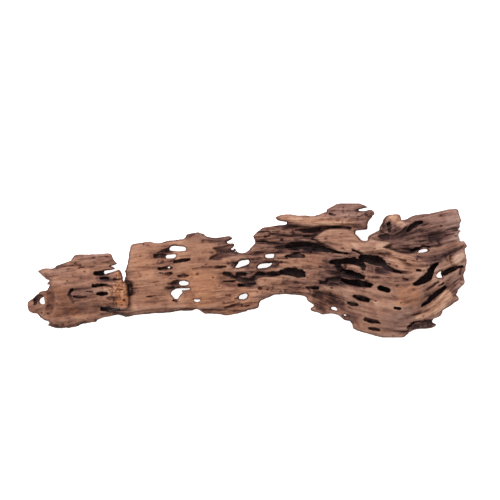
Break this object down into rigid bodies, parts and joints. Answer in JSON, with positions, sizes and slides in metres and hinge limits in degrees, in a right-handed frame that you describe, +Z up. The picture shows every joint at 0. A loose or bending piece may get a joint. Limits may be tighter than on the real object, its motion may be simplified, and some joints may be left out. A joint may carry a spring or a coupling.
{
  "type": "piece of driftwood",
  "caption": "Long flat piece of weathered driftwood with a blocky looped end, a thin holed waist and a broad hollow bowl-shaped end, worn through by slots.",
  "frame": {"origin": "on the ground, under the centre of the piece's bounding box", "axes": "+X along the grain from the looped tip to the broad broken end, +Y across the piece towards the torn crest, +Z up from the resting pads to the worn face"},
  "size_m": [0.7924, 0.2419, 0.0819],
  "materials": {
    "weathered_wood": "matt, water-worn and sun-greyed brown, dark inside its slots"
  },
  "bodies": {
    "root": {"driftwood": "weathered_wood"}
  },
  "joints": []
}
